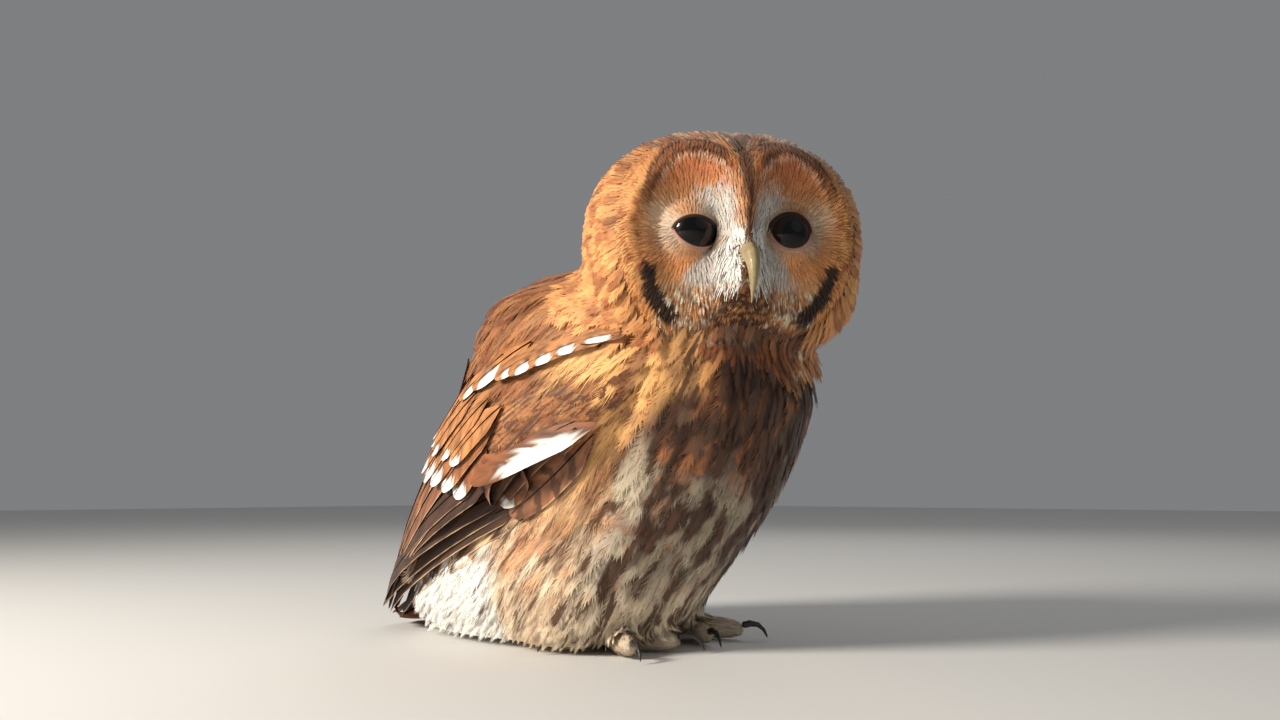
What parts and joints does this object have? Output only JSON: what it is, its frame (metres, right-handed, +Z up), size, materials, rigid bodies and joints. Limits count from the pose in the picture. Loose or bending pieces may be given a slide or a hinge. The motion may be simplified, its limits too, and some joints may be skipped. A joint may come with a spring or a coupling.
{
  "type": "tawny owl model",
  "caption": "Life-size museum model of a tawny owl sitting low with its head turned to its right, feathered all over, on small flats at floor level.",
  "frame": {"origin": "middle of the bounding box at floor level", "axes": "+Z up; the body faces -Y, so the bird's left side is at +X; the head is turned to the bird's right, towards -X"},
  "size_m": [0.1482, 0.276, 0.2293],
  "materials": {
    "coat": "rufous feathers of the head, back and wings, matt",
    "breast": "buff breast feathers with dark streaks, matt",
    "pale_coat": "cream feathers of the legs and toes, matt",
    "quill": "barred brown flight feathers, slightly sheeny",
    "bill_horn": "yellow-grey horn, satin",
    "claw_horn": "black horn, satin",
    "eye": "near-black, wet gloss"
  },
  "bodies": {
    "root": {"bill_lower": "bill_horn", "bill_upper": "bill_horn", "claw_left_hind": "claw_horn", "claw_left_inner": "claw_horn", "claw_left_outer": "claw_horn", "claw_left_side": "claw_horn", "claw_right_hind": "claw_horn", "claw_right_inner": "claw_horn", "claw_right_outer": "claw_horn", "claw_right_side": "claw_horn", "eye_left": "eye", "eye_right": "eye", "foot_left": "pale_coat", "foot_right": "pale_coat", "head": "coat", "neck": "coat", "primaries_left": "quill", "primaries_right": "quill", "secondaries_left": "quill", "secondaries_right": "quill", "tail": "quill", "thigh_left": "pale_coat", "thigh_right": "pale_coat", "toe_left_hind": "pale_coat", "toe_left_inner": "pale_coat", "toe_left_outer": "pale_coat", "toe_left_side": "pale_coat", "toe_right_hind": "pale_coat", "toe_right_inner": "pale_coat", "toe_right_outer": "pale_coat", "toe_right_side": "pale_coat", "trunk": "breast", "wing_left": "coat", "wing_right": "coat"}
  },
  "joints": []
}
